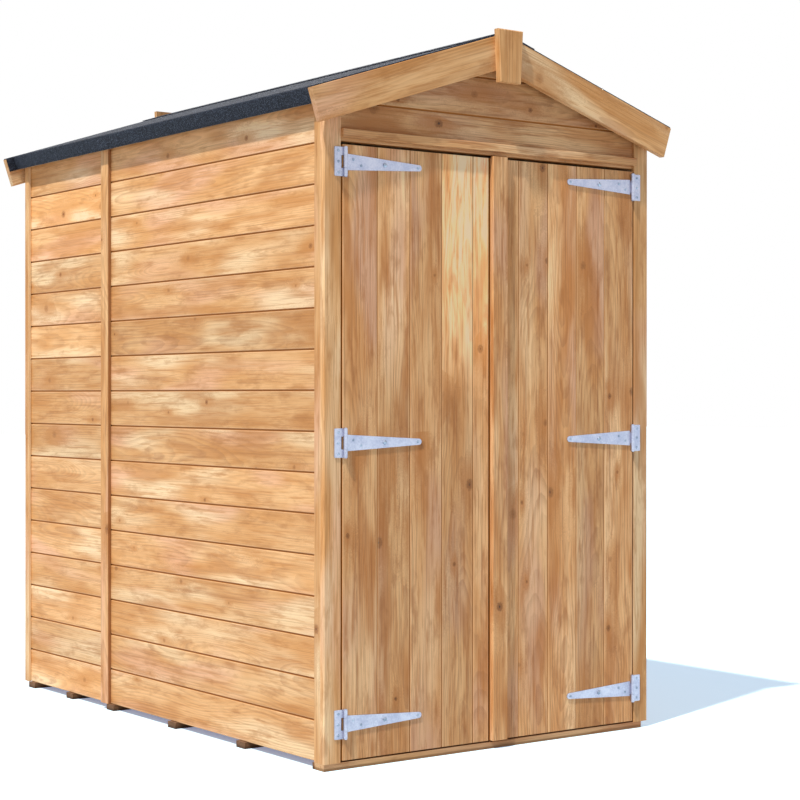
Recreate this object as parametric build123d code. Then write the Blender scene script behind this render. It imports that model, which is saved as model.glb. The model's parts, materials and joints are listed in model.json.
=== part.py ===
"""Wooden garden shed with an apex roof and ledged double doors, in millimetres.

X runs to the right along the front, Y runs to the back and Z is up. The origin is on the
ground at the centre of the shed's footprint.
"""
from build123d import *
from math import cos, radians, sin, tan
import os

# ---------------------------------------------------------------- overall sizes
shed_width = 1200.0           # over the door posts
shed_depth = 1885.0           # front of the door posts to the back corner trims
ridge_top = 2065.0            # top of the roof boards at the ridge
roof_slope = radians(18.1)
eaves_overhang = 65.4         # bargeboard top edge beyond each side of the shed
gable_overhang = 37.0         # bargeboard face beyond each end wall
front_panel_length = 1280.5   # front of the shed to the joint between its side panels

# ---------------------------------------------------------------- timber sections
board_thickness = 12.0        # wall, floor and door boards
roof_board_thickness = 11.0
frame_face = 45.0             # framing, measured along the wall
frame_depth = 28.0            # framing, measured through the wall
bearer_height = 19.0
bearer_width = 48.0
front_bearer_width = 57.0
trim_thickness = 10.0
trim_width = 30.0
post_width = 55.0
post_thickness = 20.0
cover_width = 51.0            # strip over the joint between two side panels
cover_thickness = 12.0
ridge_beam_height = 70.0
batten_height = 34.0          # eaves batten, square to the slope
batten_thickness = 15.0       # eaves batten, along the slope
purlin_place = 0.5            # share of the slope from the ridge to the wall
eased_edge = 1.5              # bevel on the long arrises of planed trim

# ---------------------------------------------------------------- levels and ends
bearer_right_inset = 25.0     # the floor sits hard to the left, short of the right post
header_bottom = 1717.0        # lower edge of the boards and rail over the doors
back_bearer_inset = 56.5      # centre of the last bearer from the back of the shed
joint_bearer_inset = 37.0     # centre of the shared bearer in front of the panel joint

# ---------------------------------------------------------------- drip strip, bargeboards, finials
drip_height = 23.0
drip_depth = 20.0
drip_rise = 10.0              # strip above the lower edge of the gable boards
barge_width = 95.5
barge_thickness = 20.0
finial_top_width = 93.0
finial_bottom_width = 77.5
finial_height = 152.5
finial_rise = 9.0             # finial top above the ridge of the roof boards
finial_offset = 9.0           # finial right of the ridge, seen from outside
finial_thickness = 20.0
finial_chamfer = 3.0

# ---------------------------------------------------------------- roofing felt
felt_thickness = 3.0
felt_fold = 45.0              # drop of the felt over the eaves edge
felt_edge_inset = 2.0         # felt short of the bargeboard's outer face and square end
felt_fold_inset = 28.0        # folded felt short of the bargeboard's square end
ridge_felt_width = 120.0      # each wing of the ridge strip
ridge_felt_thickness = 2.5

# ---------------------------------------------------------------- doors
door_side_gap = 5.0
door_top_gap = 9.0
door_bottom_gap = 5.0
door_setback = 0.3            # door face behind the face of the posts
meeting_gap = 6.0
meeting_offset = -24.0        # centre of the meeting gap, left of the shed's middle
cover_strip_width = 54.0
cover_strip_thickness = 14.0
cover_strip_rise = 5.0        # strip above the top of the door boards
ledge_height = 90.0
ledge_thickness = 20.0
ledge_inset = 30.0            # ledges short of the door's edges
brace_cut = 80.0              # level cut at each end of a brace

# ---------------------------------------------------------------- T-hinges
hinge_low = 100.0             # centre of the lowest hinge above the door's lower edge
hinge_high = 48.0             # centre of the highest hinge below the door's upper edge
hinge_inset = 6.0             # pin axis inside the door's edge
hinge_gauge = 2.5             # thickness of both leaves
knuckle_radius = 6.0
plate_height = 80.0
plate_reach = 34.0            # pin axis to the outer edge of the fixed leaf
plate_corner = 3.0
slot_width = 5.5              # window in the fixed leaf beside the strap's knuckle
strap_knuckle_height = 34.0
strap_length = 262.0          # pin axis to the strap's rounded tip
strap_root_height = 45.0
strap_tip_radius = 8.5
plate_screw_reach = 21.0      # pin axis to the row of screws in the fixed leaf
plate_screw_pitch = 29.5
strap_screws = [(28.5, -8.0), (54.5, 7.0), (249.0, 0.0)]  # reach and rise of each screw
strap_bolt_reach = 135.0      # pin axis to the coach bolt
screw_hole_radius = 2.4
bolt_hole_radius = 3.5
pin_clearance = 0.3
pin_head_radius = 4.6
pin_head_height = 1.5

# ---------------------------------------------------------------- fits
seat_gap = 0.3                # between pieces that bear on each other on the slope
joint_gap = 1.0               # between the two halves of a panel joint
leaf_clearance = 1.5          # strap body beside the fixed leaf's curls
curl_clearance = 0.5          # end play between the knuckles

# ---------------------------------------------------------------- derived planes
half_width = shed_width / 2
slope_length = (half_width + eaves_overhang) / cos(roof_slope)
front = -shed_depth / 2
back = shed_depth / 2
joint = front + front_panel_length
boards_outer = half_width - trim_thickness
boards_inner = boards_outer - board_thickness
frame_inner = boards_inner - frame_depth
post_back = front + post_thickness
post_inner = half_width - post_width
back_boards_outer = back - trim_thickness
back_boards_inner = back_boards_outer - board_thickness
back_frame_inner = back_boards_inner - frame_depth
board_bottom = bearer_height + seat_gap
deck_top = bearer_height + board_thickness
rail_top = deck_top + frame_face
barge_outer = back + gable_overhang
barge_inner = barge_outer - barge_thickness
eaves_end = slope_length - felt_fold_inset - felt_thickness - seat_gap
ridge_half = frame_depth / 2
jamb_back = post_back + frame_face
rafter_inner = front + post_thickness + frame_depth

door_face = front + door_setback
door_back = door_face + board_thickness
door_bottom = bearer_height + door_bottom_gap
door_top = header_bottom - door_top_gap
hinge_edge = post_inner - door_side_gap
hinge_x = hinge_edge - hinge_inset
hinge_y = front - knuckle_radius
hinge_levels = [
    door_bottom + hinge_low,
    (door_bottom + hinge_low + door_top - hinge_high) / 2,
    door_top - hinge_high,
]
left_free_edge = meeting_offset - meeting_gap / 2
right_free_edge = meeting_offset + meeting_gap / 2


def block(x_span, y_span, z_span):
    """A square-edged piece between three pairs of planes."""
    size = [high - low for low, high in (x_span, y_span, z_span)]
    corner = Pos(x_span[0], y_span[0], z_span[0])
    return corner * Box(*size, align=(Align.MIN, Align.MIN, Align.MIN))


def prism(points, y_span):
    """An outline of (x, z) points, run from front to back."""
    outline = Polyline(*[(x, y_span[0], z) for x, z in points], close=True)
    return extrude(make_face(outline), amount=y_span[1] - y_span[0], dir=(0, 1, 0))


def both_sides(piece):
    """A piece on the right and its mirror image on the left."""
    return [piece, mirror(piece, about=Plane.YZ)]


def left_of(piece):
    """The left-hand twin of a right-hand piece."""
    return mirror(piece, about=Plane.YZ)


def eased(piece):
    """A planed length with its four long arrises taken off."""
    return chamfer(piece.edges().sort_by(SortBy.LENGTH)[-4:], eased_edge)


def slope_point(along, above):
    """(x, z) of a point on the right slope, from the ridge and above the roof boards."""
    x = along * cos(roof_slope) + above * sin(roof_slope)
    return x, ridge_top + above * cos(roof_slope) - along * sin(roof_slope)


def plumb_point(x, above):
    """(x, z) of the point at distance x from the middle, above the roof boards."""
    return slope_point((x - above * sin(roof_slope)) / cos(roof_slope), above)


def slope_piece(start, end, low, high, y_span):
    """A board on the right slope, plumb at x = start and square at its lower end."""
    points = [
        plumb_point(start, low),
        slope_point(end, low),
        slope_point(end, high),
        plumb_point(start, high),
    ]
    return prism(points, y_span)


def slope_bar(start, end, low, high, y_span):
    """A bar on the right slope, square at both ends."""
    points = [slope_point(start, low), slope_point(end, low)]
    points += [slope_point(end, high), slope_point(start, high)]
    return prism(points, y_span)


def under_roof(x, drop=0.0):
    """Height of the roof boards' underside at x, less a seat and a plumb drop."""
    return plumb_point(abs(x), -roof_board_thickness - seat_gap)[1] - drop


def upright(x_span, y_span, bottom, drop=0.0):
    """A piece whose top follows the roof; its outline takes in the ridge where it spans it."""
    points = [(x_span[0], bottom), (x_span[1], bottom), (x_span[1], under_roof(x_span[1], drop))]
    if x_span[0] < 0 < x_span[1]:
        points.append((0.0, under_roof(0.0, drop)))
    points.append((x_span[0], under_roof(x_span[0], drop)))
    return prism(points, y_span)


rafter_drop = frame_face / cos(roof_slope) + seat_gap
top_rail_bottom = under_roof(boards_inner) - frame_face
eaves_rail_top = under_roof(boards_inner, rafter_drop)
ridge_beam_bottom = under_roof(ridge_half) - ridge_beam_height


# ---------------------------------------------------------------- floor
def bearer_centres():
    """Bearers evenly spaced under each floor section; one is shared at the joint."""
    first = front + front_bearer_width / 2
    shared = joint - joint_bearer_inset
    last = back - back_bearer_inset
    front_row = [first + (shared - first) * step / 3 for step in range(4)]
    return front_row + [(shared + last) / 2, last]


def floor_bearers():
    widths = [front_bearer_width] + [bearer_width] * 5
    pieces = []
    for centre, width in zip(bearer_centres(), widths):
        y_span = (centre - width / 2, centre + width / 2)
        pieces.append(block((-half_width, half_width - bearer_right_inset), y_span, (0, bearer_height)))
    return pieces


def floor_deck():
    seam = joint - joint_bearer_inset
    spans = [(post_back, seam - joint_gap / 2), (seam + joint_gap / 2, back_boards_inner)]
    return [block((-boards_inner, boards_inner), y_span, (bearer_height, deck_top)) for y_span in spans]


# ---------------------------------------------------------------- walls
def side_wall(y_span):
    return upright((boards_inner, boards_outer), y_span, board_bottom)


def wall_back():
    return upright((-boards_inner, boards_inner), (back_boards_inner, back_boards_outer), board_bottom)


def gable_front():
    return upright((-post_inner, post_inner), (post_back - board_thickness, post_back), header_bottom)


def side_studs():
    middle = (post_back + joint) / 2
    spans = [
        (middle - frame_face / 2, middle + frame_face / 2),
        (joint - joint_gap / 2 - frame_face, joint - joint_gap / 2),
        (joint + joint_gap / 2, joint + joint_gap / 2 + frame_face),
        (back_frame_inner - frame_face, back_frame_inner),
    ]
    return [block((frame_inner, boards_inner), y_span, (rail_top, top_rail_bottom)) for y_span in spans]


def side_rails():
    pieces = []
    for y_span in [(jamb_back, joint - joint_gap / 2), (joint + joint_gap / 2, back_frame_inner)]:
        pieces.append(block((frame_inner, boards_inner), y_span, (deck_top, rail_top)))
        pieces.append(upright((frame_inner, boards_inner), y_span, top_rail_bottom))
    return pieces


def studs_back():
    y_span = (back_frame_inner, back_boards_inner)
    z_span = (rail_top, eaves_rail_top - frame_face)
    end_stud = block((boards_inner - frame_face, boards_inner), y_span, z_span)
    middle = block((-frame_face / 2, frame_face / 2), y_span, z_span)
    king_post = block((-frame_face / 2, frame_face / 2), y_span, (eaves_rail_top, ridge_beam_bottom))
    return both_sides(end_stud) + [middle, king_post]


def rails_back():
    x_span = (-boards_inner, boards_inner)
    y_span = (back_frame_inner, back_boards_inner)
    levels = [(deck_top, rail_top), (eaves_rail_top - frame_face, eaves_rail_top)]
    return [block(x_span, y_span, z_span) for z_span in levels]


def door_jambs():
    return both_sides(upright((post_inner, boards_inner), (post_back, jamb_back), deck_top, rafter_drop))


def door_header():
    z_span = (header_bottom, header_bottom + frame_face)
    return block((-post_inner, post_inner), (post_back, rafter_inner), z_span)


def gable_rafters():
    low = -roof_board_thickness - seat_gap - frame_face
    high = -roof_board_thickness - seat_gap
    points = [
        plumb_point(ridge_half, low),
        plumb_point(boards_inner, low),
        plumb_point(boards_inner, high),
        plumb_point(ridge_half, high),
    ]
    pieces = []
    for y_span in [(post_back, rafter_inner), (back_frame_inner, back_boards_inner)]:
        pieces += both_sides(prism(points, y_span))
    return pieces


# ---------------------------------------------------------------- trims
def corner_post():
    return eased(upright((post_inner, half_width), (front, post_back), bearer_height))


def side_trims():
    spans = [(post_back, post_back + trim_width), (back - trim_width, back)]
    pieces = []
    for y_span in spans:
        pieces += both_sides(eased(upright((boards_outer, half_width), y_span, bearer_height)))
    return pieces


def back_trims():
    x_span = (boards_outer - trim_width, boards_outer)
    return both_sides(eased(upright(x_span, (back_boards_outer, back), bearer_height)))


def joint_covers():
    x_span = (boards_outer, boards_outer + cover_thickness)
    y_span = (joint - cover_width / 2, joint + cover_width / 2)
    return both_sides(eased(upright(x_span, y_span, bearer_height)))


def drip_strip():
    gable_face = post_back - board_thickness
    bottom = header_bottom + drip_rise
    x_span = (seat_gap - post_inner, post_inner - seat_gap)
    return eased(block(x_span, (gable_face - drip_depth, gable_face), (bottom, bottom + drip_height)))


# ---------------------------------------------------------------- roof
def roof_boards():
    return slope_piece(0, eaves_end, -roof_board_thickness, 0, (-barge_inner, barge_inner))


def ridge_beam():
    z_span = (ridge_beam_bottom, under_roof(ridge_half))
    return block((-ridge_half, ridge_half), (post_back, back_boards_inner), z_span)


def purlins():
    centre = purlin_place * boards_inner / cos(roof_slope)
    ends = (centre - frame_depth / 2, centre + frame_depth / 2)
    top = -roof_board_thickness - seat_gap
    return both_sides(slope_bar(*ends, top - frame_face, top, (rafter_inner, back_frame_inner)))


def eaves_battens():
    ends = (eaves_end - batten_thickness, eaves_end)
    top = -roof_board_thickness - seat_gap
    return both_sides(slope_bar(*ends, top - batten_height, top, (-barge_inner, barge_inner)))


def roof_felt():
    """A sheet over the boards and the bargeboards' top edges. It is folded down over the eaves,
    and turned along the back bargeboard's inner face where that reaches past them."""
    inside = eaves_end + seat_gap
    outside = inside + felt_thickness
    tip = slope_length - felt_edge_inset
    edge = barge_outer - felt_edge_inset
    fold_end = barge_inner - seat_gap
    turn = fold_end - felt_thickness
    top = seat_gap + felt_thickness
    sheet = slope_piece(0, outside, seat_gap, top, (-edge, edge))
    fold = slope_bar(inside, outside, -felt_fold, top, (-fold_end, fold_end))
    front_lap = slope_bar(inside, tip, seat_gap, top, (-edge, -barge_inner))
    back_lap = slope_bar(inside, tip, seat_gap, top, (turn, edge))
    turned_edge = slope_bar(inside, tip, -felt_fold, top, (turn, fold_end))
    return sheet + fold + front_lap + back_lap + turned_edge


def roof_felt_ridge():
    low = 2 * seat_gap + felt_thickness
    edge = barge_outer - felt_edge_inset
    wing = slope_piece(0, ridge_felt_width, low, low + ridge_felt_thickness, (-edge, edge))
    return wing + left_of(wing)


def bargeboard():
    return eased(slope_piece(0, slope_length, -barge_width, 0, (-barge_outer, -barge_inner)))


def finial():
    """A tapered plaque over the joint between two bargeboards, bevelled round its face."""
    top = ridge_top + finial_rise
    bottom = top - finial_height
    points = [
        (finial_offset - finial_bottom_width / 2, bottom),
        (finial_offset + finial_bottom_width / 2, bottom),
        (finial_offset + finial_top_width / 2, top),
        (finial_offset - finial_top_width / 2, top),
    ]
    plaque = prism(points, (-barge_outer - finial_thickness, -barge_outer))
    return chamfer(plaque.faces().sort_by(Axis.Y)[0].edges(), finial_chamfer)


def back_of(piece):
    """The twin of a front piece at the back of the shed."""
    return mirror(piece, about=Plane.XZ)


# ---------------------------------------------------------------- doors
def door_boards(x_span):
    return block(x_span, (door_face, door_back), (door_bottom, door_top))


def ledge_span(x_span):
    return x_span[0] + ledge_inset, x_span[1] - ledge_inset


def door_ledges(x_span):
    y_span = (door_back, door_back + ledge_thickness)
    half = ledge_height / 2
    return [eased(block(ledge_span(x_span), y_span, (level - half, level + half))) for level in hinge_levels]


def door_braces(x_span, hinge_on_left):
    """Braces rise from the hinge side to the free edge, cut to bear on the ledges."""
    left, right = ledge_span(x_span)
    foot, head = (left, right - brace_cut) if hinge_on_left else (right - brace_cut, left)
    pieces = []
    for lower, upper in zip(hinge_levels[:-1], hinge_levels[1:]):
        bottom = lower + ledge_height / 2
        top = upper - ledge_height / 2
        points = [(foot, bottom), (foot + brace_cut, bottom), (head + brace_cut, top), (head, top)]
        pieces.append(eased(prism(points, (door_back, door_back + ledge_thickness))))
    return pieces


def door_cover_strip():
    x_span = (right_free_edge, right_free_edge + cover_strip_width)
    y_span = (door_face - cover_strip_thickness, door_face)
    return eased(block(x_span, y_span, (door_bottom, door_top + cover_strip_rise)))


# ---------------------------------------------------------------- T-hinges, for the right door, at level 0
def knuckle(half_height):
    """A rolled knuckle about the pin's axis, with its bore."""
    ring = Circle(knuckle_radius) - Circle(knuckle_radius - hinge_gauge)
    return Pos(hinge_x, hinge_y, -half_height) * extrude(ring, amount=2 * half_height)


def bore(half_height):
    inside = knuckle_radius - hinge_gauge
    return Pos(hinge_x, hinge_y) * Cylinder(inside, 2 * half_height)


def leaf_hole(reach, rise, radius):
    """A fixing hole through either leaf; a positive reach is on the fixed leaf's side."""
    drill = Rot(90, 0, 0) * Cylinder(radius, 2 * hinge_gauge)
    return Pos(hinge_x + reach, front - hinge_gauge / 2, rise) * drill


def hinge_plate():
    """The fixed leaf: a tall plate curled round the pin above and below its window."""
    half_height = plate_height / 2
    window = strap_knuckle_height / 2 + curl_clearance
    y_span = (front - hinge_gauge, front)
    leaf = block((hinge_x, hinge_x + plate_reach), y_span, (-half_height, half_height))
    outer_edges = leaf.edges().filter_by(Axis.Y).sort_by(Axis.X)[-2:]
    leaf = fillet(outer_edges, plate_corner)
    for row in (-1, 0, 1):
        leaf -= leaf_hole(plate_screw_reach, row * plate_screw_pitch, screw_hole_radius)
    opening = block(
        (hinge_x - knuckle_radius, hinge_x + knuckle_radius + slot_width),
        (hinge_y - knuckle_radius, front),
        (-window, window),
    )
    return leaf + knuckle(half_height) - bore(half_height) - opening


def hinge_strap():
    """The long leaf: a tapered strap with a rounded tip, curled round the pin at its neck."""
    half_neck = strap_knuckle_height / 2
    root = hinge_x - knuckle_radius - leaf_clearance
    root_edge = Line((root, -strap_root_height / 2), (root, strap_root_height / 2))
    tip = Pos(hinge_x - strap_length + strap_tip_radius) * Circle(strap_tip_radius)
    outline = make_hull(root_edge.edges() + tip.edges())
    body = extrude(Plane.XZ.offset(-front) * outline, amount=hinge_gauge)
    for reach, rise in strap_screws:
        body -= leaf_hole(-reach, rise, screw_hole_radius)
    body -= leaf_hole(-strap_bolt_reach, 0, bolt_hole_radius)
    neck = block((root, hinge_x), (front - hinge_gauge, front), (-half_neck, half_neck))
    return body + neck + knuckle(half_neck) - bore(half_neck)


def hinge_pin():
    """A loose pin with a head at each end of the fixed leaf."""
    reach = plate_height / 2 + seat_gap
    radius = knuckle_radius - hinge_gauge - pin_clearance
    shank = Cylinder(radius, 2 * reach)
    head = Pos(0, 0, reach + pin_head_height / 2) * Cylinder(pin_head_radius, pin_head_height)
    return Pos(hinge_x, hinge_y) * (shank + head + mirror(head, about=Plane.XY))


def left_hand(leaf):
    """The same hinge turned over for the left door."""
    return Rot(0, 180, 0) * leaf


def each_level(leaf):
    return [Pos(0, 0, level) * leaf for level in hinge_levels]


# ---------------------------------------------------------------- all pieces
def shed_pieces():
    left_door = (-hinge_edge, left_free_edge)
    right_door = (right_free_edge, hinge_edge)
    front_wall_span = (post_back, joint - joint_gap / 2)
    back_wall_span = (joint + joint_gap / 2, back_boards_outer)
    barge = bargeboard()
    plaque = finial()
    plate = hinge_plate()
    strap = hinge_strap()
    pin = hinge_pin()
    return {
        "floor_bearers": floor_bearers(),
        "floor_deck": floor_deck(),
        "wall_left_front": [left_of(side_wall(front_wall_span))],
        "wall_left_back": [left_of(side_wall(back_wall_span))],
        "wall_right_front": [side_wall(front_wall_span)],
        "wall_right_back": [side_wall(back_wall_span)],
        "wall_back": [wall_back()],
        "gable_front": [gable_front()],
        "studs_left": [left_of(stud) for stud in side_studs()],
        "studs_right": side_studs(),
        "studs_back": studs_back(),
        "rails_left": [left_of(rail) for rail in side_rails()],
        "rails_right": side_rails(),
        "rails_back": rails_back(),
        "door_jambs": door_jambs(),
        "door_header": [door_header()],
        "gable_rafters": gable_rafters(),
        "corner_post_left": [left_of(corner_post())],
        "corner_post_right": [corner_post()],
        "side_trims": side_trims(),
        "back_trims": back_trims(),
        "joint_covers": joint_covers(),
        "drip_strip": [drip_strip()],
        "roof_boards_left": [left_of(roof_boards())],
        "roof_boards_right": [roof_boards()],
        "ridge_beam": [ridge_beam()],
        "purlins": purlins(),
        "eaves_battens": eaves_battens(),
        "roof_felt_left": [left_of(roof_felt())],
        "roof_felt_right": [roof_felt()],
        "roof_felt_ridge": [roof_felt_ridge()],
        "bargeboard_front_left": [left_of(barge)],
        "bargeboard_front_right": [barge],
        "bargeboard_back_left": [back_of(left_of(barge))],
        "bargeboard_back_right": [back_of(barge)],
        "finial_front": [plaque],
        "finial_back": [Rot(0, 0, 180) * plaque],
        "hinge_plates_left": each_level(left_hand(plate)),
        "hinge_plates_right": each_level(plate),
        "hinge_pins": each_level(pin) + each_level(left_hand(pin)),
        "left_door_boards": [door_boards(left_door)],
        "left_door_ledges": door_ledges(left_door),
        "left_door_braces": door_braces(left_door, hinge_on_left=True),
        "left_door_straps": each_level(left_hand(strap)),
        "right_door_boards": [door_boards(right_door)],
        "right_door_ledges": door_ledges(right_door),
        "right_door_braces": door_braces(right_door, hinge_on_left=False),
        "right_door_straps": each_level(strap),
        "door_cover_strip": [door_cover_strip()],
    }


def write_pieces():
    os.makedirs("parts", exist_ok=True)
    for name, solids in shed_pieces().items():
        shape = solids[0] if len(solids) == 1 else Compound(children=solids)
        export_step(shape, f"parts/{name}.step")


write_pieces()
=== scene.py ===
"""The looks of a wooden garden shed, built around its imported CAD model.

Lengths are in metres, in the CAD model's own frame: X to the right along the front, Y to the
back and Z up. Each board has its own grain coordinates, kept as mesh attributes: u runs along it,
v across its face and w through its thickness, from the back.
"""
import json
import math
import random
from functools import partial, reduce
from itertools import pairwise

import bmesh
import bpy
from mathutils import Matrix, Vector, noise


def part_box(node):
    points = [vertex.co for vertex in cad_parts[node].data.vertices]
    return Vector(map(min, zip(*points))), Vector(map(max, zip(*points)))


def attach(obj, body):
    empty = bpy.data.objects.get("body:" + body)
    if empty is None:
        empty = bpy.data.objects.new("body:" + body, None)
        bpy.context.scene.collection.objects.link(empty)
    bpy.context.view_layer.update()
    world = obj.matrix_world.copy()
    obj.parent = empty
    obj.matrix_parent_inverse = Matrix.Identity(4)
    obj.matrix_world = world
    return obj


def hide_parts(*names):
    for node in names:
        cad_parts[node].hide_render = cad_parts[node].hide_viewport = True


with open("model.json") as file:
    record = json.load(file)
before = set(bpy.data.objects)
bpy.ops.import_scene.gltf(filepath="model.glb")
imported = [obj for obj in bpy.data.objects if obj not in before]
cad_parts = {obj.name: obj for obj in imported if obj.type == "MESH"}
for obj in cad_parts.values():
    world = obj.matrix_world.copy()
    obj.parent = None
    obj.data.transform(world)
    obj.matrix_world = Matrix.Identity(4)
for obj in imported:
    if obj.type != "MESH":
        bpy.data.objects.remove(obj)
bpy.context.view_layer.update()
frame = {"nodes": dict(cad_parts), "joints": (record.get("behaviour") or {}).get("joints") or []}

# ---------------- sizes shared with the CAD model
ROOF_SLOPE = math.radians(18.1)
SLOPE_SIN, SLOPE_COS = math.sin(ROOF_SLOPE), math.cos(ROOF_SLOPE)
SLOPE_TAN = math.tan(ROOF_SLOPE)
BOARD = 0.012              # thickness of wall, floor and door boards
ROOF_BOARD = 0.011
FELT = 0.003
SEAT = 0.0003              # gap between pieces that bear on each other
HINGE_GAUGE = 0.0025
PLATE_SCREW_REACH = 0.021  # pin axis to the screws of the fixed leaf
PLATE_SCREW_PITCH = 0.0295
STRAP_SCREWS = [(0.0285, -0.008), (0.0545, 0.007), (0.249, 0.0)]
STRAP_BOLT_REACH = 0.135
PLATE_HALF = 0.040         # half the height of a hinge's fixed leaf
RIDGE_FELT = 0.0025
SEAM_GAP = 0.001           # between the two floor sections
FLOOR_SEAM_INSET = 0.0365  # floor seam in front of the side panels' joint
LEDGE_HEIGHT = 0.090
BRACE_CUT = 0.080

# ---------------- board layout
COVER = 0.113                  # visible width of one wall board
COURSE_BASE = 0.019            # level that wall boards' joints are counted from
DOOR_COVER = 0.1125
DOOR_HINGE_BOARD = 0.1175      # the board that carries the hinges
WIDEST_LAST = 1.2              # a door's last board, in covers
WALL_JOINT = (0.0034, 0.0019)  # gap and chamfer of a joint
DOOR_JOINT = (0.0010, 0.0018)
BACK_CHAMFER = 0.0008
BOARD_STRETCHES = 12           # a board's tone is set at the ends of these
TONGUE_REACH = 0.0055
TONGUE_HALF = 0.0018
TONGUE_TIP = 0.8               # thickness of its tip, as a share
GROOVE_DEPTH = 0.0062
GROOVE_HALF = 0.0020
LARGEST_SINK = 0.0004          # how much lower than its neighbours a board may lie
GRAIN_SHIFT = 4.0              # a board starts up to this far along its grain
WALL_SPREAD = 0.12             # how far a board's tone strays by chance
DOOR_SPREAD = 0.02
CUT_MARGIN = 0.010             # an extra point on a board's faces is further from its edges
GABLE_TIP = 0.001              # half the length that a board keeps where the slopes meet

UP, RIGHT, BACK = Vector((0, 0, 1)), Vector((1, 0, 0)), Vector((0, 1, 0))
X, Y, Z = range(3)


def srgb(code):
    """A colour written as #rrggbb, as linear red, green, blue and alpha."""
    parts = [int(code[i:i + 2], 16) / 255 for i in (1, 3, 5)]
    linear = [p / 12.92 if p <= 0.04045 else ((p + 0.055) / 1.055) ** 2.4 for p in parts]
    return (*linear, 1.0)


# ---------------- node helper
class Graph:
    """Adds nodes to a tree and links them. A value may be a number, a tuple or a socket."""

    def __init__(self, tree):
        self.tree = tree

    def add(self, kind, inputs=(), **settings):
        """A shader node with these settings and inputs."""
        node = self.tree.nodes.new("ShaderNode" + kind)
        for key, value in settings.items():
            setattr(node, key, value)
        return self.feed(node, inputs)

    def feed(self, node, inputs):
        """Links or sets a node's inputs."""
        for key, value in dict(inputs).items():
            if isinstance(value, bpy.types.NodeSocket):
                self.tree.links.new(value, node.inputs[key])
            else:
                node.inputs[key].default_value = value
        return node

    def math(self, operation, *values):
        return self.add("Math", enumerate(values), operation=operation).outputs[0]

    def plus(self, *values):
        return reduce(partial(self.math, "ADD"), values)

    def times(self, *values):
        return reduce(partial(self.math, "MULTIPLY"), values)

    def centred(self, value, reach):
        """A value from 0 to 1, moved to lie around 0 and scaled."""
        return self.math("MULTIPLY", self.math("SUBTRACT", value, 0.5), reach)

    def vector(self, operation, *values):
        node = self.add("VectorMath", enumerate(values), operation=operation)
        return node.outputs["Value"] if operation in ("DOT_PRODUCT", "LENGTH") else node.outputs[0]

    def combine(self, x, y, z):
        return self.add("CombineXYZ", {0: x, 1: y, 2: z}).outputs[0]

    def separate(self, vector):
        return self.add("SeparateXYZ", {0: vector}).outputs

    def blend(self, factor, first, second):
        """A colour between the first and the second. A Mix node's colours are sockets 6, 7 and 2."""
        return self.add("Mix", {0: factor, 6: first, 7: second}, data_type="RGBA").outputs[2]

    def ramp(self, value, low, high, at_low=0.0, at_high=1.0):
        """A smooth step from at_low to at_high as value goes from low to high."""
        return self.map_range(value, low, high, at_low, at_high, interpolation_type="SMOOTHSTEP")

    def map_range(self, *values, **settings):
        return self.add("MapRange", enumerate(values), **settings).outputs[0]

    def noise(self, vector, stretch, detail=1.0, rough=0.5, shift=0.0):
        """Soft noise, with its own scale along each axis of the vector."""
        place = self.vector("MULTIPLY", vector, stretch)
        if shift:
            place = self.vector("ADD", place, (shift, shift, shift))
        inputs = {"Vector": place, "Scale": 1.0, "Detail": detail, "Roughness": rough}
        return self.add("TexNoise", inputs).outputs[0]

    def relief(self, strength, distance, height):
        """The normal that a relief gives."""
        inputs = {"Strength": strength, "Distance": distance, "Height": height}
        return self.add("Bump", inputs).outputs[0]

    def chance(self, value):
        """Three random numbers that depend on value."""
        return self.separate(self.add("TexWhiteNoise", {"W": value}, noise_dimensions="1D").outputs["Color"])


def new_group(name, inputs, outputs):
    """A shader node group: its graph, its given values by name and the node of its outputs."""
    tree = bpy.data.node_groups.new(name, "ShaderNodeTree")
    for way, sockets in (("INPUT", inputs), ("OUTPUT", outputs)):
        for label, kind in sockets:
            tree.interface.new_socket(label, in_out=way, socket_type="NodeSocket" + kind)
    graph = Graph(tree)
    return graph, tree.nodes.new("NodeGroupInput").outputs, tree.nodes.new("NodeGroupOutput")


def fresh_graph(owner):
    """A graph on the emptied node tree of a material or a world."""
    owner.use_nodes = True
    owner.node_tree.nodes.clear()
    return Graph(owner.node_tree)


def new_material(name):
    """A material with a Principled shader, its graph and the shader node."""
    material = bpy.data.materials.new(name)
    graph = fresh_graph(material)
    shader = graph.add("BsdfPrincipled")
    graph.add("OutputMaterial", {0: shader.outputs[0]})
    return material, graph, shader


# ---------------- pine
RING_SPACING = (0.0030, 0.0030)      # narrowest, and how much wider
HEART_SIDE = 0.12                    # a log's heart is within half of this, to either side
HEART_DEPTH = (0.010, 0.09)          # its least distance behind the board, and how much more
HEART_TILT = (0.03, 0.07)            # its slope along the board, sideways and in depth
HEART_SWAY = (0.03, 0.055)           # how far it bends, sideways and in depth
KNOT_CELL = (0.24, 0.12)             # size of the cells that may hold a knot, along and across
KNOT_CHANCE = (0.68, 0.70)           # a cell that draws more than this has one
KNOT_RADIUS = (0.0036, 0.0115)       # smallest, and how much larger
KNOT_SQUASH, EYE_SQUASH = 0.8, 0.38  # width to length of a knot, and of the rings' eye round it
LIGHT_TO_MID = (0.34, 0.66)          # values of the cloud noise between light and mid pine
STREAKS = (0.50, 0.72)               # values of the streak noise between none and full
BLUSH_SHARE = 0.7

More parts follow.
